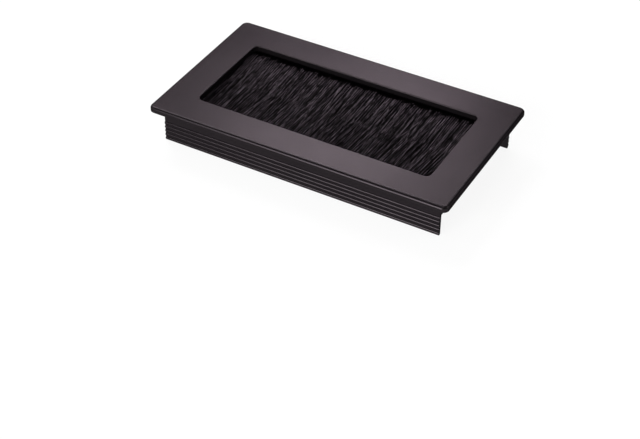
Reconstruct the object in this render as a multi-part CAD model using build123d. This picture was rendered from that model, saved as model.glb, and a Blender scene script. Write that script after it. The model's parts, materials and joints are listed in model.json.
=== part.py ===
from build123d import *
import os
from math import pi, radians, sin, tan

# Brush cable grommet for a rectangular cut-out in a desk, in millimetres.
# The frame is one extruded length with its ends milled back: a flange, two ribbed legs and, behind each
# leg, a slot that holds a strip brush. X runs along the legs, +Y to the rear, and Z = 0 is the underside
# of the flange, where it lies on the desk.

# Cut-out that the legs drop into, and the room left on each side of them
CUTOUT_LENGTH = 150.0
CUTOUT_WIDTH = 80.0
CUTOUT_PLAY = 0.4

# Flange that hides the edge of the cut-out
FLANGE_OVERHANG = 5.0
FLANGE_THICKNESS = 2.9
FLANGE_CORNER_RADIUS = 3.3
FLANGE_TOP_ROUNDING = 1.4
FLANGE_UNDER_ROUNDING = 0.2

# Window in the flange, over the brush
WINDOW_LENGTH = 125.2
WINDOW_WIDTH = 54.7
WINDOW_CORNER_RADIUS = 2.7
WINDOW_EDGE_ROUNDING = 0.5

# Legs along the long sides, with round ribs counted upwards from the foot
LEG_DEPTH = 18.7
LEG_THICKNESS = 1.5
LEG_FOOT_ROUNDING = 0.4
RIB_COUNT = 5
RIB_PITCH = 2.25
RIB_WIDTH = 1.5
RIB_HEIGHT = 0.5
RIB_FOOT_MARGIN = 0.1

# Slot behind each leg: the metal above, below and in front of the strip, and the room around it
SLOT_ROOF = 1.2
SLOT_SHELF = 1.1
SLOT_LIP = 1.0
SLOT_PLAY = 0.1
MOUTH_PLAY = 0.25

# Folded channel of a brush strip, with its mouth crimped on the filaments
CHANNEL_HEIGHT = 5.0
CHANNEL_DEPTH = 5.0
CHANNEL_GAUGE = 0.6
CHANNEL_BEND_RADIUS = 0.3
CRIMP_DEPTH = 0.35
CRIMP_LENGTH = 1.2
STRIP_END_GAP = 0.4

# Core wire that the filaments are folded over, and the play around the filaments
WIRE_DIAMETER = 1.2
WIRE_PLAY = 0.05
FILAMENT_PLAY = 0.05

# Tufts, in two staggered layers that lean the same way and end in a ragged line along the middle
TUFT_COUNT = 60
TUFT_ROOT_PROUD = 0.8
TUFT_ROOT_WEB = 0.6
TUFT_TIP_GAP = 0.8
TUFT_TIP_HEIGHT = 1.0
TUFT_LEAN = 3.0
TUFT_SWAY = 1.2
TUFT_SWAY_PERIOD = 9.0
TUFT_RAGGED = 1.2
LAYER_GAP = 0.3
BRUSH_TIP_HEIGHT = 3.4
MEETING_GAP = 0.3

# Share of a full turn that spreads the tuft lengths evenly without a repeat
GOLDEN_SHARE = 0.618034
# Power that keeps the lean up to near the strip's end, where the tufts stand straight
LEAN_FADE_POWER = 6

# Places that follow from the sizes above, for the rear side
leg_length = CUTOUT_LENGTH - 2 * CUTOUT_PLAY
leg_outer = CUTOUT_WIDTH / 2 - CUTOUT_PLAY - RIB_HEIGHT
leg_inner = leg_outer - LEG_THICKNESS
slot_inner = leg_inner - CHANNEL_DEPTH - 2 * SLOT_PLAY
lip_face = slot_inner - SLOT_LIP
slot_top = -SLOT_ROOF
slot_floor = slot_top - CHANNEL_HEIGHT - 2 * SLOT_PLAY
brush_level = (slot_top + slot_floor) / 2
strip_length = leg_length - 2 * STRIP_END_GAP
channel_back = leg_inner - SLOT_PLAY
channel_mouth = channel_back - CHANNEL_DEPTH
crimp_start = channel_mouth + CRIMP_LENGTH
fold_radius = CHANNEL_HEIGHT / 2 - CHANNEL_GAUGE - FILAMENT_PLAY
wire_place = channel_back - CHANNEL_GAUGE - FILAMENT_PLAY - fold_radius
pack_half = fold_radius - CRIMP_DEPTH
tuft_root = lip_face - TUFT_ROOT_PROUD


def run_along(sketch, length):
    """A section drawn as (y, z), run along X to both sides of the middle."""
    return extrude(Plane.YZ * sketch, amount=length / 2, both=True)


def mirrored_points(points):
    """A closed outline from its upper half, given as (place, height over the brush's level)."""
    upper = [(y, brush_level + height) for y, height in points]
    lower = [(y, brush_level - height) for y, height in reversed(points)]
    return upper + lower


def flange():
    """The plate with its rounded edges and the window."""
    outline = RectangleRounded(
        CUTOUT_LENGTH + 2 * FLANGE_OVERHANG, CUTOUT_WIDTH + 2 * FLANGE_OVERHANG, FLANGE_CORNER_RADIUS
    )
    plate = extrude(outline, FLANGE_THICKNESS)
    plate = fillet(plate.faces().sort_by(Axis.Z)[-1].edges(), FLANGE_TOP_ROUNDING)
    plate = fillet(plate.faces().sort_by(Axis.Z)[0].edges(), FLANGE_UNDER_ROUNDING)
    plate -= extrude(RectangleRounded(WINDOW_LENGTH, WINDOW_WIDTH, WINDOW_CORNER_RADIUS), FLANGE_THICKNESS)
    window_edge = plate.faces().sort_by(Axis.Z)[-1].inner_wires()[0].edges()
    return fillet(window_edge, WINDOW_EDGE_ROUNDING)


def rib_section():
    """A round rib with its flat side on the leg's outer face."""
    crown = ThreePointArc((0, -RIB_WIDTH / 2), (RIB_HEIGHT, 0), (0, RIB_WIDTH / 2))
    return make_face(crown + Line((0, RIB_WIDTH / 2), (0, -RIB_WIDTH / 2)))


def rail():
    """The rear leg with its ribs and the brush slot, up to the flange's underside."""
    mouth_half = pack_half + MOUTH_PLAY
    shelf_under = slot_floor - SLOT_SHELF
    outline = Polygon(
        (leg_outer, 0),
        (leg_outer, -LEG_DEPTH),
        (leg_inner, -LEG_DEPTH),
        (leg_inner, shelf_under),
        (lip_face, shelf_under),
        (lip_face, brush_level - mouth_half),
        (slot_inner, brush_level - mouth_half),
        (slot_inner, slot_floor),
        (leg_inner, slot_floor),
        (leg_inner, slot_top),
        (slot_inner, slot_top),
        (slot_inner, brush_level + mouth_half),
        (lip_face, brush_level + mouth_half),
        (lip_face, 0),
        align=Align.NONE,
    )
    outline = fillet(outline.vertices().group_by(Axis.Y)[0], LEG_FOOT_ROUNDING)
    lowest_rib = -LEG_DEPTH + LEG_FOOT_ROUNDING + RIB_FOOT_MARGIN + RIB_WIDTH / 2
    for rib in range(RIB_COUNT):
        outline += Pos(leg_outer, lowest_rib + rib * RIB_PITCH) * rib_section()
    return run_along(outline, leg_length)


def frame():
    """The whole extrusion, with a rail under each long side."""
    rear_rail = rail()
    return flange() + rear_rail + mirror(rear_rail, about=Plane.XZ)


def brush_channel():
    """The rear strip's folded channel, open towards the window."""
    outer_half = CHANNEL_HEIGHT / 2
    inner_half = outer_half - CHANNEL_GAUGE
    outside = [
        (channel_mouth, outer_half - CRIMP_DEPTH),
        (crimp_start, outer_half),
        (channel_back, outer_half),
    ]
    inside = [
        (channel_mouth, inner_half - CRIMP_DEPTH),
        (crimp_start, inner_half),
        (channel_back - CHANNEL_GAUGE, inner_half),
    ]
    outer = Polygon(*mirrored_points(outside), align=Align.NONE)
    outer = fillet(outer.vertices().group_by(Axis.X)[-1], CHANNEL_BEND_RADIUS + CHANNEL_GAUGE)
    inner = Polygon(*mirrored_points(inside), align=Align.NONE)
    inner = fillet(inner.vertices().group_by(Axis.X)[-1], CHANNEL_BEND_RADIUS)
    return run_along(outer - inner, strip_length)


def core_wire():
    """The wire inside the rear strip's fold."""
    return run_along(Pos(wire_place, brush_level) * Circle(WIRE_DIAMETER / 2), strip_length)


def brush_root():
    """The filaments of the rear strip inside its channel, folded round the wire, and out of the mouth."""
    pack = [
        (tuft_root, pack_half),
        (channel_mouth, pack_half),
        (crimp_start, fold_radius),
        (wire_place, fold_radius),
    ]
    fold = Pos(wire_place, brush_level)
    section = Polygon(*mirrored_points(pack), align=Align.NONE) + fold * Circle(fold_radius)
    section -= fold * Circle(WIRE_DIAMETER / 2 + WIRE_PLAY)
    return run_along(section, strip_length)


def tuft_lean(tuft, place):
    """How far a tuft's tip stands along X from its root: tufts sway, and straighten at the far end."""
    angle = TUFT_LEAN + TUFT_SWAY * sin(2 * pi * tuft / TUFT_SWAY_PERIOD)
    share = (place + strip_length / 2) / strip_length
    return tuft_root * tan(radians(angle)) * (1 - share**LEAN_FADE_POWER)


def tuft_comb(stagger):
    """Plan of one layer of tufts, with its gaps moved along by a share of their pitch."""
    half = strip_length / 2
    pitch = strip_length / TUFT_COUNT
    gaps = [-half + (tuft + stagger) * pitch for tuft in range(1, TUFT_COUNT)]
    edges = [-half, *gaps, half]
    points = [(-half, tuft_root)]
    for tuft in range(TUFT_COUNT):
        left, right = edges[tuft], edges[tuft + 1]
        lean = tuft_lean(tuft, (left + right) / 2)
        short = [TUFT_RAGGED * ((2 * tuft + corner + stagger) * GOLDEN_SHARE % 1) for corner in (0, 1)]
        points.append((left + lean + TUFT_TIP_GAP / 2, MEETING_GAP / 2 + short[0]))
        points.append((right + lean - TUFT_TIP_GAP / 2, MEETING_GAP / 2 + short[1]))
        points.append((right, tuft_root - TUFT_ROOT_WEB))
    points[-1] = (half, tuft_root)
    return Polygon(*points, align=Align.NONE)


def tuft_layer(side, stagger):
    """One layer of the rear strip's tufts: side is 1 above the brush's level and -1 below it."""
    tip_half = BRUSH_TIP_HEIGHT / 2
    thickness = Polygon(
        (tuft_root, brush_level + side * LAYER_GAP / 2),
        (tuft_root, brush_level + side * pack_half),
        (0, brush_level + side * tip_half),
        (0, brush_level + side * (tip_half - TUFT_TIP_HEIGHT)),
        align=Align.NONE,
    )
    comb = Pos(Z=brush_level) * extrude(tuft_comb(stagger), amount=BRUSH_TIP_HEIGHT, both=True)
    return comb & run_along(thickness, leg_length)


def bristles():
    """The rear strip's filaments: the folded root and both layers of tufts."""
    return brush_root() + tuft_layer(1, 0.0) + tuft_layer(-1, 0.5)


os.makedirs("parts", exist_ok=True)
export_step(frame(), "parts/frame.step")
for name, piece in {
    "brush_channel": brush_channel(),
    "core_wire": core_wire(),
    "bristles": bristles(),
}.items():
    export_step(piece, f"parts/rear_{name}.step")
    export_step(mirror(piece, about=Plane.XZ), f"parts/front_{name}.step")
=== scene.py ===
"""Brush cable grommet: finishes, loose filaments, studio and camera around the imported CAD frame.

Lengths are metres in the CAD's own frame: X along the legs, +Y to the rear leg, +Z up out of the desk.
"""

import json
import logging
import math
from abc import ABC, abstractmethod
from dataclasses import dataclass
from enum import Enum
from typing import Any

import bpy
from mathutils import Matrix, Vector


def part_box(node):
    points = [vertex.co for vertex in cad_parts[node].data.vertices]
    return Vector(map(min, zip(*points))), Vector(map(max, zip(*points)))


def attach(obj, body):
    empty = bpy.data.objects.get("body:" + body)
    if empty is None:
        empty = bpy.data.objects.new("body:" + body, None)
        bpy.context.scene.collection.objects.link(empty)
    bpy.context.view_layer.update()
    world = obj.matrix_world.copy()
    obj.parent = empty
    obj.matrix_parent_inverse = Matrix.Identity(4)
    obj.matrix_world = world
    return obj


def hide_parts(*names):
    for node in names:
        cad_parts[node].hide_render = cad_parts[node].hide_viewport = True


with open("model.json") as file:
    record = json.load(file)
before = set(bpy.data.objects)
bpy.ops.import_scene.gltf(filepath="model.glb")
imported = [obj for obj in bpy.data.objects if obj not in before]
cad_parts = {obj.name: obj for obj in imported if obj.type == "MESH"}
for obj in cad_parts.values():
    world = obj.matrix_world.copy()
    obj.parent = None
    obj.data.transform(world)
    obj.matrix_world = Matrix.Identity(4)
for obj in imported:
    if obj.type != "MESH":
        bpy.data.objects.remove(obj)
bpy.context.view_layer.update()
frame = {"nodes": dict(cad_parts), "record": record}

LOG = logging.getLogger("brush_grommet")
BODY = "root"

# Width in pixels of the photograph that the camera is fitted to
PHOTO_WIDTH = 640

Colour = tuple[float, float, float]
Stretch = tuple[float, float, float]

WHITE: Colour = (1.0, 1.0, 1.0)

# Factors along X, Y and Z that leave a pattern as it is
UNSTRETCHED: Stretch = (1.0, 1.0, 1.0)


def opaque(colour: Colour) -> tuple[float, float, float, float]:
    """The colour with full alpha, as a colour socket takes it."""
    return (*colour, 1.0)


def toward(azimuth: float, elevation: float) -> Vector:
    """Unit vector from the object, with the azimuth in degrees round from the front towards +X.

    Args:
        azimuth: Degrees round the vertical, 0 at the front.
        elevation: Degrees above the horizon.

    Returns:
        The direction in which a camera or lamp at those angles stands.
    """
    turn, rise = math.radians(azimuth), math.radians(elevation)
    return Vector((math.sin(turn) * math.cos(rise), -math.cos(turn) * math.cos(rise), math.sin(rise)))


@dataclass(frozen=True)
class Field:
    """A number that a node tree works out, which formulas can add, scale and raise.

    Attributes:
        graph: The tree that works it out.
        socket: The output that carries it.
    """

    graph: "Graph"
    socket: bpy.types.NodeSocket

    def __add__(self, other: "Term") -> "Field":
        """Sum with another field or number."""
        return self.graph.math("ADD", self, other)

    def __sub__(self, other: "Term") -> "Field":
        """Difference from another field or number."""
        return self.graph.math("SUBTRACT", self, other)

    def __rsub__(self, other: "Term") -> "Field":
        """Difference of a plain number and this field."""
        return self.graph.math("SUBTRACT", other, self)

    def __mul__(self, other: "Term") -> "Field":
        """Product with another field or number."""
        return self.graph.math("MULTIPLY", self, other)

    def __truediv__(self, other: "Term") -> "Field":
        """Quotient by another field or number."""
        return self.graph.math("DIVIDE", self, other)

    def __pow__(self, other: "Term") -> "Field":
        """This field raised to a power."""
        return self.graph.math("POWER", self, other)


Term = Field | float


class Graph:
    """A node tree under construction, whose nodes are made and wired by short calls."""

    def __init__(self, tree: bpy.types.NodeTree) -> None:
        """Starts on a tree that may already hold nodes."""
        self.tree = tree

    def plug(self, source: Any, target: bpy.types.NodeSocket) -> None:
        """Wires a field or an output into an input, or sets the input to a plain value.

        Args:
            source: A Field, an output socket or a value that the input can hold.
            target: The input.
        """
        if isinstance(source, Field):
            source = source.socket
        if isinstance(source, bpy.types.NodeSocket):
            self.tree.links.new(source, target)
        else:
            target.default_value = source

    def node(self, kind: str, inputs: dict[str | int, Any] | None = None, **settings: Any) -> bpy.types.Node:
        """Adds a node, with its settings first, because they decide which inputs it has.

        Args:
            kind: Blender's name for the node's type.
            inputs: What goes into each input, by the input's name or place.
            **settings: The node's own properties.

        Returns:
            The new node.
        """
        made = self.tree.nodes.new(kind)
        for name, value in settings.items():
            setattr(made, name, value)
        for key, source in (inputs or {}).items():
            self.plug(source, made.inputs[key])
        return made

    def field(self, node: bpy.types.Node, output: str | int = 0) -> Field:
        """One output of a node, as a field."""
        return Field(self, node.outputs[output])

    def math(self, operation: str, *terms: Term) -> Field:
        """A Math node on up to three fields or numbers."""
        return self.field(self.node("ShaderNodeMath", dict(enumerate(terms)), operation=operation))

    def ramp(self, value: Term, start: Term, end: Term, low: Term = 0.0, high: Term = 1.0) -> Field:
        """Runs from low to high while a value goes from start to end, and stays level outside.

        Args:
            value: The field that is followed.
            start: Its value where the ramp begins.
            end: Its value where the ramp ends.
            low: What the ramp begins with.
            high: What the ramp ends with.

        Returns:
            The ramp's field.
        """
        inputs = {"Value": value, "From Min": start, "From Max": end, "To Min": low, "To Max": high}
        return self.field(self.node("ShaderNodeMapRange", inputs))

    def blend(self, share: Term, dark: Colour, light: Colour) -> bpy.types.NodeSocket:
        """A colour between two, by a share from 0 to 1.

        Args:
            share: How much of the second colour shows.
            dark: The colour at 0.
            light: The colour at 1.

        Returns:
            The colour output.
        """
        mix = self.node("ShaderNodeMix", data_type="RGBA")
        sockets = {socket.identifier: socket for socket in mix.inputs}
        self.plug(share, sockets["Factor_Float"])
        self.plug(opaque(dark), sockets["A_Color"])
        self.plug(opaque(light), sockets["B_Color"])
        return next(socket for socket in mix.outputs if socket.identifier == "Result_Color")


class Effect(Enum):
    """Surface effects that several finishes share, each a shader node group of that name."""

    GRAIN = "surface_grain"
    DRIFT = "slow_drift"

    def group(self) -> bpy.types.NodeTree:
        """Finds the effect's node group, which is built on its first use.

        Returns:
            The node group.
        """
        made = bpy.data.node_groups.get(self.value)
        if made is None:
            made = grain_group(self.value) if self is Effect.GRAIN else drift_group(self.value)
        return made

    def place(self, graph: Graph, **values: Any) -> Field:
        """Puts the effect into a material.

        Args:
            graph: The material's nodes.
            **values: What goes into each of the group's inputs.

        Returns:
            The group's one output.
        """
        return graph.field(graph.node("ShaderNodeGroup", values, node_tree=self.group()))


# Finer octaves of the grain, and how strong each is beside the coarser one
GRAIN_DETAIL = 3.0
GRAIN_ROUGHNESS = 0.6

# Finer octaves of the drift, and the noise values at which it has its least and its most
DRIFT_DETAIL = 1.0
DRIFT_SPAN = (0.3, 0.7)


def start_group(
    name: str, sockets: dict[str, str], result: str
) -> tuple[Graph, bpy.types.Node, bpy.types.Node]:
    """Starts a shader node group that puts out one number.

    Args:
        name: The group's name.
        sockets: Type of each input, by name.
        result: Name of its one output.

    Returns:
        The group's graph, its input node and its output node.
    """
    tree = bpy.data.node_groups.new(name, "ShaderNodeTree")
    for socket, kind in sockets.items():
        tree.interface.new_socket(socket, in_out="INPUT", socket_type=kind)
    tree.interface.new_socket(result, in_out="OUTPUT", socket_type="NodeSocketFloat")
    graph = Graph(tree)
    return graph, graph.node("NodeGroupInput"), graph.node("NodeGroupOutput")


def grain_group(name: str) -> bpy.types.NodeTree:
    """Fine relief of a surface, which can be drawn out into lines along an axis.

    Args:
        name: The group's name.

    Returns:
        A group with inputs Stretch and Scale and output Height.
    """
    sockets = {"Stretch": "NodeSocketVector", "Scale": "NodeSocketFloat"}
    graph, given, result = start_group(name, sockets, "Height")
    place = graph.node("ShaderNodeTexCoord").outputs["Object"]
    drawn = graph.node("ShaderNodeVectorMath", {0: place, 1: given.outputs["Stretch"]}, operation="MULTIPLY")
    inputs = {
        "Vector": drawn.outputs[0],
        "Scale": given.outputs["Scale"],
        "Detail": GRAIN_DETAIL,
        "Roughness": GRAIN_ROUGHNESS,
    }
    noise = graph.node("ShaderNodeTexNoise", inputs)
    graph.plug(noise.outputs[0], result.inputs["Height"])
    return graph.tree


def drift_group(name: str) -> bpy.types.NodeTree:
    """Slow change of a value over a surface, between two limits.

    Args:
        name: The group's name.

    Returns:
        A group with inputs Scale, Least and Most and output Value.
    """
    sockets = {socket: "NodeSocketFloat" for socket in ("Scale", "Least", "Most")}
    graph, given, result = start_group(name, sockets, "Value")
    place = graph.node("ShaderNodeTexCoord").outputs["Object"]
    inputs = {"Vector": place, "Scale": given.outputs["Scale"], "Detail": DRIFT_DETAIL}
    noise = graph.field(graph.node("ShaderNodeTexNoise", inputs))
    value = graph.ramp(noise, *DRIFT_SPAN, graph.field(given, "Least"), graph.field(given, "Most"))
    graph.plug(value, result.inputs["Value"])
    return graph.tree


class Finish(ABC):
    """A surface finish that makes its own material.

    Attributes:
        name: The material's name.
    """

    name: str

    def material(self) -> bpy.types.Material:
        """Makes a new material of the finish.

        Returns:
            The material, with its nodes built.
        """
        made = bpy.data.materials.new(self.name)
        made.use_nodes = True
        made.node_tree.nodes.clear()
        graph = Graph(made.node_tree)
        output = graph.node("ShaderNodeOutputMaterial")
        graph.plug(self.surface(graph), output.inputs["Surface"])
        return made

    @abstractmethod
    def surface(self, graph: Graph) -> bpy.types.NodeSocket:
        """Builds the finish out of nodes.

        Args:
            graph: The material's nodes.

        Returns:
            The shader output.
        """


@dataclass(frozen=True)
class BlackAnodising(Finish):
    """Satin black anodised extrusion, with a blasted grain and faint lines from the die along X.

    Attributes:
        name: The material's name.
        deep: Its darkest colour.
        pale: Its palest colour.
        metallic: How far it reflects as metal does.
        gloss: Strength of the reflections that aren't the metal's own.
        edge_tint: Colour of its reflections at a grazing angle.
        roughness: Its least and greatest roughness.
        tone_scale: Scale of the change between its two colours.
        rough_scale: Scale of the change of roughness.
        grain_scale: Scale of the blasted grain.
        die_scale: Scale of the die's lines.
        die_stretch: How a grain is drawn out into those lines.
        die_share: Share of the lines in the relief, where the grain is the rest.
        relief: Height of the relief.
        bump: How far the relief shows, from 0 to 1.
    """

    name: str = "black_anodised"
    deep: Colour = (0.0197, 0.0166, 0.0185)
    pale: Colour = (0.0213, 0.0180, 0.0200)
    metallic: float = 0.825
    gloss: float = 0.0
    edge_tint: Colour = (0.39, 0.39, 0.39)
    roughness: tuple[float, float] = (0.235, 0.250)
    tone_scale: float = 35.0
    rough_scale: float = 105.0
    grain_scale: float = 5200.0
    die_scale: float = 2600.0
    die_stretch: Stretch = (0.008, 1.0, 1.0)
    die_share: float = 0.3
    relief: float = 0.00002
    bump: float = 0.05

    def surface(self, graph: Graph) -> bpy.types.NodeSocket:
        """Builds a dark metal whose colour and roughness drift, with the grain and the lines as relief.

        Args:
            graph: The material's nodes.

        Returns:
            The shader output.
        """
        tone = Effect.DRIFT.place(graph, Scale=self.tone_scale, Least=0.0, Most=1.0)
        low, high = self.roughness
        rough = Effect.DRIFT.place(graph, Scale=self.rough_scale, Least=low, Most=high)
        grain = Effect.GRAIN.place(graph, Stretch=UNSTRETCHED, Scale=self.grain_scale)
        lines = Effect.GRAIN.place(graph, Stretch=self.die_stretch, Scale=self.die_scale)
        height = grain * (1.0 - self.die_share) + lines * self.die_share
        relief = {"Strength": self.bump, "Distance": self.relief, "Height": height}
        inputs = {
            "Base Color": graph.blend(tone, self.deep, self.pale),
            "Metallic": self.metallic,
            "Roughness": rough,
            "Specular IOR Level": self.gloss,
            "Specular Tint": opaque(self.edge_tint),
            "Normal": graph.node("ShaderNodeBump", relief).outputs[0],
        }
        return graph.node("ShaderNodeBsdfPrincipled", inputs).outputs[0]


@dataclass(frozen=True)
class PlatedSteel(Finish):
    """Plated or bare steel, with lines drawn along X by the rolls or the die.

    Attributes:
        name: The material's name.
        dull: Its colour in the dull patches.
        bright: Its colour in the bright patches.
        roughness: Its least and greatest roughness.
        patch_scale: Scale of the patches.
        rough_scale: Scale of the change of roughness.
        line_scale: Scale of the lines.
        line_stretch: How a grain is drawn out into those lines.
        relief: Height of the lines.
        bump: How far they show, from 0 to 1.
    """

    name: str
    dull: Colour
    bright: Colour
    roughness: tuple[float, float]
    patch_scale: float
    rough_scale: float
    line_scale: float = 4200.0
    line_stretch: Stretch = (0.01, 1.0, 1.0)
    relief: float = 0.00002
    bump: float = 0.5

    def surface(self, graph: Graph) -> bpy.types.NodeSocket:
        """Builds a metal with dull and bright patches, and the lines as relief.

        Args:
            graph: The material's nodes.

        Returns:
            The shader output.
        """
        patches = Effect.DRIFT.place(graph, Scale=self.patch_scale, Least=0.0, Most=1.0)
        low, high = self.roughness
        rough = Effect.DRIFT.place(graph, Scale=self.rough_scale, Least=low, Most=high)
        lines = Effect.GRAIN.place(graph, Stretch=self.line_stretch, Scale=self.line_scale)
        relief = {"Strength": self.bump, "Distance": self.relief, "Height": lines}
        inputs = {
            "Base Color": graph.blend(patches, self.dull, self.bright),
            "Metallic": 1.0,
            "Roughness": rough,
            "Normal": graph.node("ShaderNodeBump", relief).outputs[0],
        }
        return graph.node("ShaderNodeBsdfPrincipled", inputs).outputs[0]


@dataclass(frozen=True)
class BlackNylon(Finish):
    """Black filament, shaded strand by strand, with a painted flange shadow at the window's edges and
    painted light near the roots.

    Attributes:
        window_half: Half the window's width across the strands.
        name: The material's name.
        shade_attribute: Attribute that holds each strand's own shade.
        deep: Colour of the darkest strand.
        pale: Colour of the palest strand.
        painted_flange_shadow: Painted shadow under the flange: how far in the strands stay dark, and from
            where they are palest.
        ragged_scale: Scale of the waves in the edge of that painted shadow.
        ragged_reach: How far the waves take the edge in or out.
        root_reach: How far inside the window the painted light on the strands' roots reaches.
        root_gain: Gain of that painted light at the window's edge, and further in than that.
        grain_scale: Scale of the streaks along a strand.
        grain_stretch: How a grain is drawn out into those streaks.
        grain_band: Grain at which a streak is dark, and at which it is light.
        grain_gain: Gain of the shade in a dark and in a light streak.
        gloss: Strength of their reflections.
        roughness: Roughness of the darkest and of the palest strand.
    """

    window_half: float
    name: str = "black_filament"
    shade_attribute: str = "strand_shade"
    deep: Colour = (0.0010, 0.0008, 0.0010)
    pale: Colour = (0.176, 0.143, 0.169)
    painted_flange_shadow: tuple[float, float] = (0.0002, 0.0016)
    ragged_scale: float = 420.0
    ragged_reach: float = 0.0019
    root_reach: float = 0.012
    root_gain: tuple[float, float] = (1.4, 0.95)
    grain_scale: float = 2300.0
    grain_stretch: Stretch = (1.0, 0.08, 0.6)
    grain_band: tuple[float, float] = (0.40, 0.62)
    grain_gain: tuple[float, float] = (0.1, 1.9)
    gloss: float = 0.02
    roughness: tuple[float, float] = (0.60, 0.50)

    def surface(self, graph: Graph) -> bpy.types.NodeSocket:
        """Builds a matt black that each strand's shade, the painted root light and the streaks lighten,
        under a painted flange shadow.

        Args:
            graph: The material's nodes.

        Returns:
            The shader output.
        """
        strand = graph.field(
            graph.node("ShaderNodeAttribute", attribute_name=self.shade_attribute), "Fac"
        )
        grain = Effect.GRAIN.place(graph, Stretch=self.grain_stretch, Scale=self.grain_scale)
        reach = self.ragged_reach
        ragged = Effect.DRIFT.place(graph, Scale=self.ragged_scale, Least=-reach, Most=reach)
        place = graph.node("ShaderNodeTexCoord").outputs["Object"]
        across = graph.field(graph.node("ShaderNodeSeparateXYZ", {0: place}), "Y")
        margin = self.window_half - graph.math("ABSOLUTE", across)
        # Painted light on the roots near the window's edges, with a painted shadow of the flange right at
        # them
        painted_root_light = graph.ramp(margin, 0.0, self.root_reach, *self.root_gain)
        shade = strand * graph.ramp(margin + ragged, *self.painted_flange_shadow) * painted_root_light
        streaked = shade * graph.ramp(grain, *self.grain_band, *self.grain_gain)
        inputs = {
            "Base Color": graph.blend(streaked, self.deep, self.pale),
            "Roughness": graph.ramp(shade, 0.0, 1.0, *self.roughness),
            "Specular IOR Level": self.gloss,
        }
        return graph.node("ShaderNodeBsdfPrincipled", inputs).outputs[0]


@dataclass(frozen=True)
class PaleFloor(Finish):
    """White studio floor: it takes the object's shadow, and shows as white paper to the camera.

    Attributes:
        name: The material's name.
        paper: Its colour.
        flecked: Its colour in the flecks.
        fleck_scale: Scale of the flecks.
        glow: Brightness of the even white that the camera sees, where 1 is white.
        glow_share: How much of that white shows, where the lit paper is the rest.
    """

    name: str = "pale_floor"
    paper: Colour = (0.92, 0.92, 0.92)
    flecked: Colour = (0.90, 0.90, 0.90)
    fleck_scale: float = 8.0
    glow: float = 1.0
    glow_share: float = 0.9

    def surface(self, graph: Graph) -> bpy.types.NodeSocket:
        """Builds lit paper, with an even white over it for the rays that show the background.

        Args:
            graph: The material's nodes.

        Returns:
            The shader output.
        """
        fleck = Effect.DRIFT.place(graph, Scale=self.fleck_scale, Least=0.0, Most=1.0)
        colour = graph.blend(fleck, self.flecked, self.paper)
        matt = graph.node("ShaderNodeBsdfDiffuse", {"Color": colour})
        even = graph.node("ShaderNodeEmission", {"Strength": self.glow})
        shown = seen_rays(graph) * self.glow_share
        mixed = graph.node("ShaderNodeMixShader", {0: shown, 1: matt.outputs[0], 2: even.outputs[0]})
        return mixed.outputs[0]


def seen_rays(graph: Graph) -> Field:
    """Tells the rays that show the white background from those that only carry light.

    Args:
        graph: The material's nodes.

    Returns:
        1 for rays from the camera, off gloss and through glass, and otherwise 0.
    """
    rays = graph.node("ShaderNodeLightPath")
    direct = graph.math("MAXIMUM", graph.field(rays, "Is Camera Ray"), graph.field(rays, "Is Glossy Ray"))
    return graph.math("MAXIMUM", direct, graph.field(rays, "Is Transmission Ray"))


class Side(Enum):
    """The long side of the window that a brush strip stands on."""

    REAR = 1
    FRONT = -1

    def node(self, piece: str) -> str:
        """Name of this side's own node of a piece."""
        return f"{self.name.lower()}_{piece}"

    def offsets(self, piece: str) -> tuple[float, float]:
        """Measures how far this side's node of a piece lies from the window's middle line.

        Args:
            piece: The piece, without its side.

        Returns:
            Its least and its greatest distance.
        """
        low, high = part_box(self.node(piece))
        near, far = sorted((abs(low.y), abs(high.y)))
        return near, far


def dress(node: str, material: bpy.types.Material) -> None:
    """Gives a CAD node its finish, and leaves its mesh alone.

    Args:
        node: The node's name.
        material: What it is dressed in.
    """
    shown = frame["nodes"][node]
    if not shown.material_slots:
        shown.data.materials.append(material)
    for slot in shown.material_slots:
        slot.material = material
    LOG.info("dressed %s in %s", node, material.name)


@dataclass(frozen=True)
class Station:
    """A point of a strand, as fields that hold for every point of every strand.

    Attributes:
        strand: Number of the strand.
        end: Number of its free end, which differs between its two halves.
        layer: 1 on its upper half, -1 on its lower half and 0 in the middle of the fold.
        share: 0 in the middle of the fold and 1 at either tip.
        fold: 0 in the middle of the fold and 1 where its arc ends.
        throat: 0 there and 1 at the channel's mouth.
        free: 0 there and 1 at the tip.
        start: Where the strand stands along the strip.
        depth: Its depth in the pack, from 0 at the wire to 1 outside.
        loose: 0 deep in the pack and 1 outside, where strands gather into clumps.
        clump: Number of its clump.
        centre: Where its clump gathers along the strip.
    """

    strand: Field
    end: Field
    layer: Field
    share: Field
    fold: Field
    throat: Field
    free: Field
    start: Field
    depth: Field
    loose: Field
    clump: Field
    centre: Field


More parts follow.
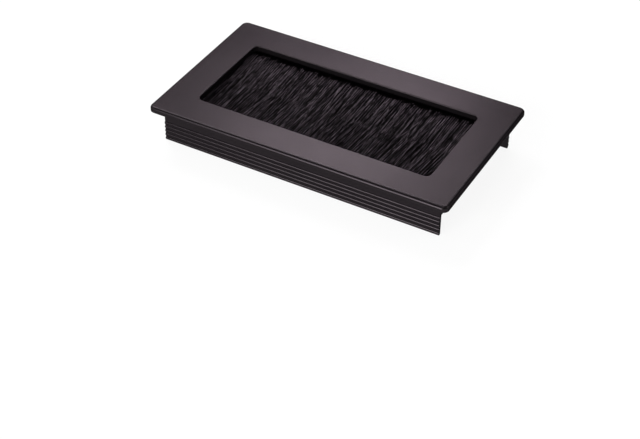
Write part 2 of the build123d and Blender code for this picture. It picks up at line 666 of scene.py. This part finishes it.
class FilamentTree:
    """Geometry Nodes tree of a brush strip: strands folded over the core wire, with both ends free.

    A strand is drawn through stations that are counted from the fold to each of its two tips: the end of the
    arc round the wire, the channel's mouth, and then the free length.
    """

    NAME = "folded_filaments"

    # Stations on each half of a strand, and points on the whole of it
    STATIONS = 5
    POINTS = 2 * STATIONS + 1
    # Shares of a half strand where its arc round the wire ends and where it leaves the channel
    FOLD_END = 1 / STATIONS
    MOUTH = 2 / STATIONS
    # Sides of a strand's tube
    SIDES = 3
    # Step in depth from a strand to the next, which spreads all depths evenly without a repeat
    DEPTH_STEP = 0.618034
    # Share of the pack's depth where clumps begin, and from where they are gathered fully
    LOOSE = (0.35, 0.75)
    # Shares of a clump's pitch by which the bands and the two layers are staggered
    BAND_SHIFT = 0.37
    LAYER_SHIFT = 0.23
    # Steps in number between the bands of clumps and between the layers, so that no number comes twice
    BAND_STRIDE = 1000.0
    LAYER_STRIDE = 10000.0
    # Shares of a clump's pitch between which its middle lies
    CENTRE = (0.4, 0.6)
    # Share of the free length on which a clump gathers
    GATHERING = 0.2
    # Share of the fray that is a strand's own, where its clump's is the rest
    OWN_FRAY = 0.6
    # Share of the brush's half height by which a tip may leave its depth
    TIP_JITTER = 0.04
    # Finer octaves and gain of the sway's noise, and how far the seed and the layer move along it
    SWAY_DETAIL = 1.0
    SWAY_GAIN = 4.0
    SEED_PHASE = 7.3
    LAYER_PHASE = 31.0
    # Powers that bend the free ends late, lift clumps early, make strays rare and darken deeper strands with
    # painted shade
    CURL = 1.8
    RISE = 0.7
    RARITY = 7.0
    PAINTED_DEPTH_SHADE = 8.0
    # Shares of the full shade that chance gives a strand and a clump
    STRAND_SHADE = (0.60, 1.0)
    CLUMP_SHADE = (0.45, 1.0)
    # Share of a half strand where its taper begins, and share of its radius that is left at the tip
    TAPER_START = 0.7
    TIP_RADIUS = 0.7

    LENGTHS = (
        "Strip Length",
        "Wire Place",
        "Wire Radius",
        "Level",
        "Fold Radius",
        "Mouth",
        "Pack Half",
        "Tip Half",
        "Overlap",
        "Fray",
        "Thickness",
        "Clump Pitch",
        "Clump Lift",
        "Sway",
        "Sway Length",
        "Stray",
    )
    NUMBERS = ("Left Lean", "Right Lean", "Clump Lean", "Clump Pull", "Tone", "Side")
    COUNTS = ("Strands", "Clump Bands", "Seed")

    def __init__(self) -> None:
        """Builds the tree."""
        self.tree = bpy.data.node_groups.new(self.NAME, "GeometryNodeTree")
        self.graph = Graph(self.tree)
        self._open_sockets()
        self.given = self.graph.node("NodeGroupInput")
        self.draws = 0
        self._build()

    def _open_sockets(self) -> None:
        """Makes the named inputs and the one output."""
        new = self.tree.interface.new_socket
        for name in self.LENGTHS:
            new(name, in_out="INPUT", socket_type="NodeSocketFloat").subtype = "DISTANCE"
        for name in self.NUMBERS:
            new(name, in_out="INPUT", socket_type="NodeSocketFloat")
        for name in self.COUNTS:
            new(name, in_out="INPUT", socket_type="NodeSocketInt")
        new("Finish", in_out="INPUT", socket_type="NodeSocketMaterial")
        new("Geometry", in_out="OUTPUT", socket_type="NodeSocketGeometry")

    def identifiers(self) -> dict[str, str]:
        """Identifier of each input, by its name."""
        items = self.tree.interface.items_tree
        return {item.name: item.identifier for item in items if item.in_out == "INPUT"}

    def _in(self, name: str) -> Field:
        """One of the tree's own inputs."""
        return Field(self.graph, self.given.outputs[name])

    def _draw(self, owner: Field, low: float = 0.0, high: float = 1.0) -> Field:
        """Draws a number for each strand, free end or clump, anew at each call and the same on every run.

        Args:
            owner: Number of the strand, free end or clump.
            low: Least value.
            high: Greatest value.

        Returns:
            The drawn number.
        """
        self.draws += 1
        node = self.graph.node("FunctionNodeRandomValue", data_type="FLOAT")
        sockets = {socket.identifier: socket for socket in node.inputs}
        values = {"Min_001": low, "Max_001": high, "ID": owner, "Seed": self._in("Seed") + self.draws}
        for identifier, value in values.items():
            self.graph.plug(value, sockets[identifier])
        return Field(self.graph, next(s for s in node.outputs if s.identifier == "Value_001"))

    def _build(self) -> None:
        """Lays the strands out, bends them along their stations and gives them thickness."""
        graph = self.graph
        line = graph.node("GeometryNodeCurvePrimitiveLine")
        drawn = graph.node(
            "GeometryNodeResampleCurve", {"Curve": line.outputs[0], "Count": self.POINTS}, mode="COUNT"
        )
        starts = graph.node("GeometryNodePoints", {"Count": self._in("Strands")})
        copies = graph.node(
            "GeometryNodeInstanceOnPoints", {"Points": starts.outputs[0], "Instance": drawn.outputs[0]}
        )
        strands = graph.node("GeometryNodeRealizeInstances", {0: copies.outputs[0]})
        at = self._station()
        place = {"X": self._along(at), "Y": self._across(at) * self._in("Side"), "Z": self._height(at)}
        position = graph.node("ShaderNodeCombineXYZ", place).outputs[0]
        laid = graph.node("GeometryNodeSetPosition", {"Geometry": strands.outputs[0], "Position": position})
        shaded = graph.node(
            "GeometryNodeStoreNamedAttribute",
            {"Geometry": laid.outputs[0], "Name": BlackNylon.shade_attribute, "Value": self._shade(at)},
            data_type="FLOAT",
            domain="POINT",
        )
        graph.node("NodeGroupOutput", {"Geometry": self._skin(shaded.outputs[0], at).outputs[0]})

    def _station(self) -> Station:
        """Works out what follows from a point's number alone.

        Returns:
            Its strand, its place on the strand and its clump.
        """
        graph = self.graph
        index = graph.field(graph.node("GeometryNodeInputIndex"))
        # Half a point more keeps rounding from moving a point to the strand before
        strand = graph.math("FLOOR", (index + 0.5) / float(self.POINTS))
        step = index - strand * float(self.POINTS) - float(self.STATIONS)
        layer = graph.math("SIGN", step)
        share = graph.math("ABSOLUTE", step) / float(self.STATIONS)
        turn_in_row = (strand + self._draw(strand)) / self._in("Strands")
        start = (turn_in_row * 2.0 - 1.0) * self._half_strip()
        depth = graph.math("FRACT", strand * self.DEPTH_STEP)
        band = graph.math("FLOOR", depth * self._in("Clump Bands"))
        shift = band * self.BAND_SHIFT + layer * self.LAYER_SHIFT
        cell = graph.math("FLOOR", start / self._in("Clump Pitch") + shift)
        clump = cell + band * self.BAND_STRIDE + layer * self.LAYER_STRIDE
        return Station(
            strand=strand,
            end=strand + layer * self.LAYER_STRIDE,
            layer=layer,
            share=share,
            fold=graph.ramp(share, 0.0, self.FOLD_END),
            throat=graph.ramp(share, self.FOLD_END, self.MOUTH),
            free=graph.ramp(share, self.MOUTH, 1.0),
            start=start,
            depth=depth,
            loose=graph.ramp(depth, *self.LOOSE),
            clump=clump,
            centre=(cell + self._draw(clump, *self.CENTRE) - shift) * self._in("Clump Pitch"),
        )

    def _half_strip(self) -> Field:
        """Half the room for strands along the strip."""
        return self._in("Strip Length") * 0.5 - self._in("Thickness")

    def _strand_radius(self) -> Field:
        """Half a strand's thickness."""
        return self._in("Thickness") * 0.5

    def _radius(self, at: Station) -> Field:
        """How far from the wire's centre a strand is folded."""
        innermost = self._in("Wire Radius") + self._strand_radius()
        return innermost + (self._in("Fold Radius") - self._strand_radius() - innermost) * at.depth

    def _wave(self, at: Station) -> Field:
        """Draws a smooth random wave along the strip, which differs between the two layers.

        Args:
            at: The points.

        Returns:
            The wave, from about -1 to 1.
        """
        phase = self._in("Seed") * self.SEED_PHASE + at.layer * self.LAYER_PHASE
        place = at.start / self._in("Sway Length") + phase
        inputs = {"W": place, "Scale": 1.0, "Detail": self.SWAY_DETAIL}
        noise = self.graph.node("ShaderNodeTexNoise", inputs, noise_dimensions="1D")
        return (self.graph.field(noise) - 0.5) * self.SWAY_GAIN

    def _along(self, at: Station) -> Field:
        """Leans, gathers and bends the strands along the strip.

        Args:
            at: The points.

        Returns:
            Their places along the strip, kept inside its ends.
        """
        graph = self.graph
        half = self._half_strip()
        row_lean = graph.ramp(at.start, half * -1.0, half, self._in("Left Lean"), self._in("Right Lean"))
        clump_lean = self._in("Clump Lean") * self._draw(at.clump, -1.0, 1.0) * at.loose
        gathered = self._in("Clump Pull") * at.loose * graph.ramp(at.free, 0.0, self.GATHERING)
        stray = self._draw(at.end, -1.0, 1.0) ** self.RARITY * self._in("Stray")
        along = (
            at.start
            + (at.centre - at.start) * gathered
            + (row_lean + clump_lean) * self._in("Mouth") * at.free
            + (self._wave(at) * self._in("Sway") + stray) * at.free**self.CURL
        )
        return graph.math("MAXIMUM", graph.math("MINIMUM", along, half), half * -1.0)

    def _across(self, at: Station) -> Field:
        """Runs the strands from the fold through the mouth to their uneven tips.

        Args:
            at: The points.

        Returns:
            Their distances from the window's middle line, negative where a strand has passed the line.
        """
        own = self._draw(at.strand, -1.0, 1.0) * self.OWN_FRAY
        shared = self._draw(at.clump, -1.0, 1.0) * (1.0 - self.OWN_FRAY)
        tip = (own + shared) * self._in("Fray") - self._in("Overlap")
        return (
            self._in("Wire Place")
            + self._radius(at) * (1.0 - at.fold)
            + (self._in("Mouth") - self._in("Wire Place")) * at.throat
            + (tip - self._in("Mouth")) * at.free
        )

    def _height(self, at: Station) -> Field:
        """Spreads the strands over the pack's height, and lifts or lowers the outer clumps.

        Args:
            at: The points.

        Returns:
            Their heights.
        """
        radius = self._radius(at)
        at_mouth = self._in("Pack Half") * at.depth
        at_tip = self._in("Tip Half") * (at.depth + self._draw(at.strand, -self.TIP_JITTER, self.TIP_JITTER))
        spread = radius * at.fold + (at_mouth - radius) * at.throat + (at_tip - at_mouth) * at.free
        lift = self._in("Clump Lift") * self._draw(at.clump, -1.0, 1.0) * at.loose * at.free**self.RISE
        return self._in("Level") + at.layer * spread + lift

    def _shade(self, at: Station) -> Field:
        """Darkens the deeper strands with painted shade, and shades each strand and each clump by its own
        share.

        Args:
            at: The points.

        Returns:
            The shade of their strands, from 0 for black.
        """
        own = self._draw(at.strand, *self.STRAND_SHADE)
        shared = self._draw(at.clump, *self.CLUMP_SHADE)
        # Painted shade: the deeper a strand lies in the pack, the darker it is, and Tone darkens a whole row
        return own * shared * self._in("Tone") * at.depth**self.PAINTED_DEPTH_SHADE

    def _skin(self, curves: bpy.types.NodeSocket, at: Station) -> bpy.types.Node:
        """Gives the strands thickness and their finish, each turned about its own line by chance.

        Args:
            curves: The bent strands.
            at: Their stations.

        Returns:
            The tree's last node before its output.
        """
        graph = self.graph
        radius = graph.ramp(at.share, self.TAPER_START, 1.0, 1.0, self.TIP_RADIUS)
        tapered = graph.node("GeometryNodeSetCurveRadius", {"Curve": curves, "Radius": radius})
        tilt = self._draw(at.strand, 0.0, math.tau)
        turned = graph.node("GeometryNodeSetCurveTilt", {"Curve": tapered.outputs[0], "Tilt": tilt})
        section = graph.node(
            "GeometryNodeCurvePrimitiveCircle",
            {"Resolution": self.SIDES, "Radius": self._strand_radius()},
            mode="RADIUS",
        )
        tubes = graph.node(
            "GeometryNodeCurveToMesh",
            {"Curve": turned.outputs[0], "Profile Curve": section.outputs[0], "Fill Caps": True},
        )
        smooth = graph.node(
            "GeometryNodeSetShadeSmooth", {"Geometry": tubes.outputs[0], "Shade Smooth": True}
        )
        real = graph.node("GeometryNodeRealizeInstances", {0: smooth.outputs[0]})
        return graph.node(
            "GeometryNodeSetMaterial", {"Geometry": real.outputs[0], "Material": self._in("Finish")}
        )


@dataclass(frozen=True)
class BrushStrip:
    """One row of filaments in its channel.

    Attributes:
        side: The long side that it stands on.
        seed: Start of its random draws.
        lean: Degrees by which the strands lean towards +X at the row's left and right end.
        tone: How pale its palest strand is, from 0 to 1, where a lower tone is painted shade on the whole
            row.
        strands: Strands folded over the wire, each with two free ends.
        thickness: Diameter of a strand.
        pack_half: Half the height of the filaments between the channel's lips.
        tip_half: Half the height of the brush at its tips.
        overlap: How far the tips pass the window's middle line, on average.
        fray: How much longer or shorter than that a strand may be.
        clump_pitch: Mean width of the clumps that the strands gather into.
        clump_bands: Bands of clumps, one over the other, in each half of the pack.
        clump_pull: How far a strand is drawn to its clump's middle, from 0 to 1.
        clump_lean: Degrees by which a clump may lean more or less than the row.
        clump_lift: How much higher or lower a clump may lie at its tips.
        sway: Wide waves of the tips along X, and their length.
        stray: How far the odd strand leaves its neighbours.
    """

    side: Side
    seed: int
    lean: tuple[float, float]
    tone: float
    strands: int = 3000
    thickness: float = 0.00026
    pack_half: float = 0.0015
    tip_half: float = 0.0017
    overlap: float = 0.0004
    fray: float = 0.0030
    clump_pitch: float = 0.0012
    clump_bands: int = 3
    clump_pull: float = 0.95
    clump_lean: float = 1.0
    clump_lift: float = 0.0004
    sway: tuple[float, float] = (0.0002, 0.011)
    stray: float = 0.005

    def build(self, tree: FilamentTree, finish: bpy.types.Material) -> bpy.types.Object:
        """Makes the row's filaments in place of its CAD solid.

        Args:
            tree: The tree that folds the strands.
            finish: The filaments' material.

        Returns:
            The new piece.
        """
        label = self.side.node("filaments")
        piece = bpy.data.objects.new(label, bpy.data.meshes.new(label))
        bpy.context.collection.objects.link(piece)
        modifier = piece.modifiers.new("filaments", "NODES")
        modifier.node_group = tree.tree
        identifiers = tree.identifiers()
        for name, value in self._inputs(finish).items():
            modifier[identifiers[name]] = value
        shown = piece.evaluated_get(bpy.context.evaluated_depsgraph_get())
        mesh = bpy.data.meshes.new_from_object(shown)
        piece.modifiers.remove(modifier)
        piece.data = mesh
        mesh.name = label
        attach(piece, BODY)
        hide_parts(self.side.node("bristles"))
        LOG.info("%s: %d strands, %d faces", label, self.strands, len(mesh.polygons))
        return piece

    def _inputs(self, finish: bpy.types.Material) -> dict[str, Any]:
        """Values for the tree's inputs, read from the frame where a CAD piece holds them.

        Args:
            finish: The filaments' material.

        Returns:
            Each input's value, by its name.
        """
        low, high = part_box(self.side.node("bristles"))
        wire_near, wire_far = self.side.offsets("core_wire")
        wire_low, wire_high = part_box(self.side.node("core_wire"))
        wire_place = (wire_near + wire_far) / 2
        mouth, _ = self.side.offsets("brush_channel")
        _, fold_back = self.side.offsets("bristles")
        return {
            "Strip Length": high.x - low.x,
            "Wire Place": wire_place,
            "Wire Radius": (wire_far - wire_near) / 2,
            "Level": (wire_low.z + wire_high.z) / 2,
            "Fold Radius": fold_back - wire_place,
            "Mouth": mouth,
            "Pack Half": self.pack_half,
            "Tip Half": self.tip_half,
            "Overlap": self.overlap,
            "Fray": self.fray,
            "Thickness": self.thickness,
            "Clump Pitch": self.clump_pitch,
            "Clump Lift": self.clump_lift,
            "Sway": self.sway[0],
            "Sway Length": self.sway[1],
            "Stray": self.stray,
            "Left Lean": math.tan(math.radians(self.lean[0])),
            "Right Lean": math.tan(math.radians(self.lean[1])),
            "Clump Lean": math.tan(math.radians(self.clump_lean)),
            "Clump Pull": self.clump_pull,
            "Tone": self.tone,
            "Side": float(self.side.value),
            "Strands": self.strands,
            "Clump Bands": self.clump_bands,
            "Seed": self.seed,
            "Finish": finish,
        }


@dataclass(frozen=True)
class BrushCarrier:
    """The channel and the core wire that hold one row of filaments.

    Attributes:
        side: The long side that they stand on.
    """

    side: Side

    def dress(self, plate: bpy.types.Material, wire: bpy.types.Material) -> None:
        """Dresses the strip's two steel pieces.

        Args:
            plate: Finish of the folded channel.
            wire: Finish of the core wire.
        """
        dress(self.side.node("brush_channel"), plate)
        dress(self.side.node("core_wire"), wire)


@dataclass(frozen=True)
class Extrusion:
    """The flange, legs and brush slots, which are one extruded piece.

    Attributes:
        node: Its CAD node.
    """

    node: str = "frame"

    def dress(self, anodised: bpy.types.Material) -> None:
        """Dresses the extrusion in its anodised finish."""
        dress(self.node, anodised)

    def foot_level(self) -> float:
        """Height of the legs' feet, where the object stands."""
        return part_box(self.node)[0].z


@dataclass(frozen=True)
class Softbox:
    """A soft rectangular lamp that faces the object.

    Attributes:
        name: The lamp's name.
        azimuth: Degrees round from the front towards +X.
        elevation: Degrees above the horizon.
        width: Size across.
        height: Size from top to bottom.
        strength: Brightness of its face, where 1 is white.
        turn: Degrees by which the lamp is turned about the line to the object.
        distance: Distance from the middle of the plate.
    """

    name: str
    azimuth: float
    elevation: float
    width: float
    height: float
    strength: float
    turn: float = 0.0
    distance: float = 1.6

    # Watts per square metre of lamp that make its face white
    WHITE_FACE = 4.0

    def build(self) -> None:
        """Makes the lamp and turns it to the object."""
        lamp = bpy.data.lights.new(self.name, "AREA")
        lamp.shape = "RECTANGLE"
        lamp.size = self.width
        lamp.size_y = self.height
        lamp.energy = self.WHITE_FACE * self.width * self.height * self.strength
        out = toward(self.azimuth, self.elevation)
        facing = out.to_track_quat("Z", "Y").to_matrix().to_4x4()
        stand = bpy.data.objects.new(self.name, lamp)
        turned = Matrix.Rotation(math.radians(self.turn), 4, "Z")
        stand.matrix_world = Matrix.Translation(out * self.distance) @ facing @ turned
        bpy.context.collection.objects.link(stand)


@dataclass(frozen=True)
class PhotoCamera:
    """The photograph's camera, fitted to the edges of the flange and the legs.

    Attributes:
        place: Where it stands.
        azimuth: Degrees round from the front towards +X.
        elevation: Degrees above the horizon.
        roll: Degrees by which its picture is turned.
        focal_pixels: Focal length in pixels of the photograph.
        sensor_width: Width of the sensor in millimetres.
    """

    place: tuple[float, float, float] = (0.28403, -0.53061, 0.42677)
    azimuth: float = 28.912
    elevation: float = 39.394
    roll: float = 0.579
    focal_pixels: float = 1516.9
    sensor_width: float = 36.0

    def build(self) -> None:
        """Makes the camera and gives it to the scene."""
        back = toward(self.azimuth, self.elevation)
        level = Vector((math.cos(math.radians(self.azimuth)), math.sin(math.radians(self.azimuth)), 0.0))
        turn = math.radians(self.roll)
        right = level * math.cos(turn) + back.cross(level) * math.sin(turn)
        axes = Matrix((right, back.cross(right), back)).transposed()
        lens = bpy.data.cameras.new("photo_camera")
        lens.sensor_fit = "HORIZONTAL"
        lens.sensor_width = self.sensor_width
        lens.lens = self.sensor_width * self.focal_pixels / PHOTO_WIDTH
        camera = bpy.data.objects.new("photo_camera", lens)
        camera.matrix_world = Matrix.Translation(self.place) @ axes.to_4x4()
        bpy.context.collection.objects.link(camera)
        bpy.context.scene.camera = camera


@dataclass(frozen=True)
class Studio:
    """Floor, lamps and white surroundings.

    Attributes:
        floor_size: Length of the square floor's side.
        fill: Brightness of the surroundings overhead.
        wall: Sine of the elevation up to which they are white, and of that from which they are dim.
        softboxes: The lamps.
    """

    floor_size: float = 12.0
    fill: float = 0.08
    wall: tuple[float, float] = (0.15, 0.3)
    softboxes: tuple[Softbox, ...] = (
        Softbox("key", azimuth=207.6, elevation=36.9, width=0.38, height=0.06, turn=18.5, strength=39.0),
        Softbox("back", azimuth=208.6, elevation=38.0, width=1.8, height=1.0, strength=1.41),
        Softbox("front", azimuth=-8.0, elevation=20.0, width=1.1, height=0.9, strength=9.3),
        Softbox("left", azimuth=-122.0, elevation=45.0, width=0.6, height=0.6, strength=8.0),
        Softbox("top", azimuth=0.0, elevation=90.0, width=0.6, height=0.5, strength=2.0),
        Softbox("right_end", azimuth=118.0, elevation=34.0, width=0.8, height=0.8, strength=1.6),
        Softbox("left_end", azimuth=-62.0, elevation=32.0, width=0.8, height=0.8, strength=1.6),
    )

    def build(self, floor_level: float) -> None:
        """Sets up the floor, the lamps, the surroundings and the plain view.

        Args:
            floor_level: Height of the floor.
        """
        self._floor(floor_level)
        for softbox in self.softboxes:
            softbox.build()
        self._surroundings()
        bpy.context.scene.view_settings.view_transform = "Standard"

    def _floor(self, level: float) -> None:
        """Makes the floor, which isn't part of the object.

        Args:
            level: Its height.
        """
        half = self.floor_size / 2
        mesh = bpy.data.meshes.new("floor")
        corners = [(-half, -half, level), (half, -half, level), (half, half, level), (-half, half, level)]
        mesh.from_pydata(corners, [], [tuple(range(len(corners)))])
        mesh.materials.append(PaleFloor().material())
        floor = bpy.data.objects.new("floor", mesh)
        bpy.context.collection.objects.link(floor)

    def _surroundings(self) -> None:
        """Surroundings that are white at the horizon and dim overhead."""
        world = bpy.data.worlds.new("surroundings")
        world.use_nodes = True
        world.node_tree.nodes.clear()
        graph = Graph(world.node_tree)
        way = graph.node("ShaderNodeTexCoord").outputs["Generated"]
        rise = graph.field(graph.node("ShaderNodeSeparateXYZ", {0: way}), "Z")
        strength = graph.ramp(rise, *self.wall, 1.0, self.fill)
        background = graph.node("ShaderNodeBackground", {"Color": opaque(WHITE), "Strength": strength})
        graph.node("ShaderNodeOutputWorld", {"Surface": background.outputs[0]})
        bpy.context.scene.world = world


def main() -> None:
    """Builds the grommet's looks, then the studio and the camera around them."""
    logging.basicConfig(level=logging.INFO, format="%(name)s: %(message)s")
    extrusion = Extrusion()
    extrusion.dress(BlackAnodising().material())

    zinc = PlatedSteel(
        "channel_steel",
        dull=(0.36, 0.37, 0.39),
        bright=(0.50, 0.51, 0.52),
        roughness=(0.32, 0.44),
        patch_scale=420.0,
        rough_scale=840.0,
    ).material()
    drawn = PlatedSteel(
        "wire_steel",
        dull=(0.38, 0.38, 0.39),
        bright=(0.46, 0.46, 0.46),
        roughness=(0.24, 0.32),
        patch_scale=150.0,
        rough_scale=300.0,
    ).material()
    openings = {opening["name"]: opening for opening in frame["record"]["physics"]["openings"]}
    _, window_corner = openings["window_recess"]["box_m"]
    nylon = BlackNylon(window_half=window_corner[1]).material()
    tree = FilamentTree()
    # The front row's lower tone is painted shade on the same filament
    strips = (
        BrushStrip(Side.REAR, seed=11, lean=(4.5, 0.5), tone=1.0),
        BrushStrip(Side.FRONT, seed=47, lean=(-0.5, 6.0), tone=0.77),
    )
    for strip in strips:
        BrushCarrier(strip.side).dress(zinc, drawn)
        strip.build(tree, nylon)

    Studio().build(extrusion.foot_level())
    PhotoCamera().build()


if __name__ == "__main__":
    main()
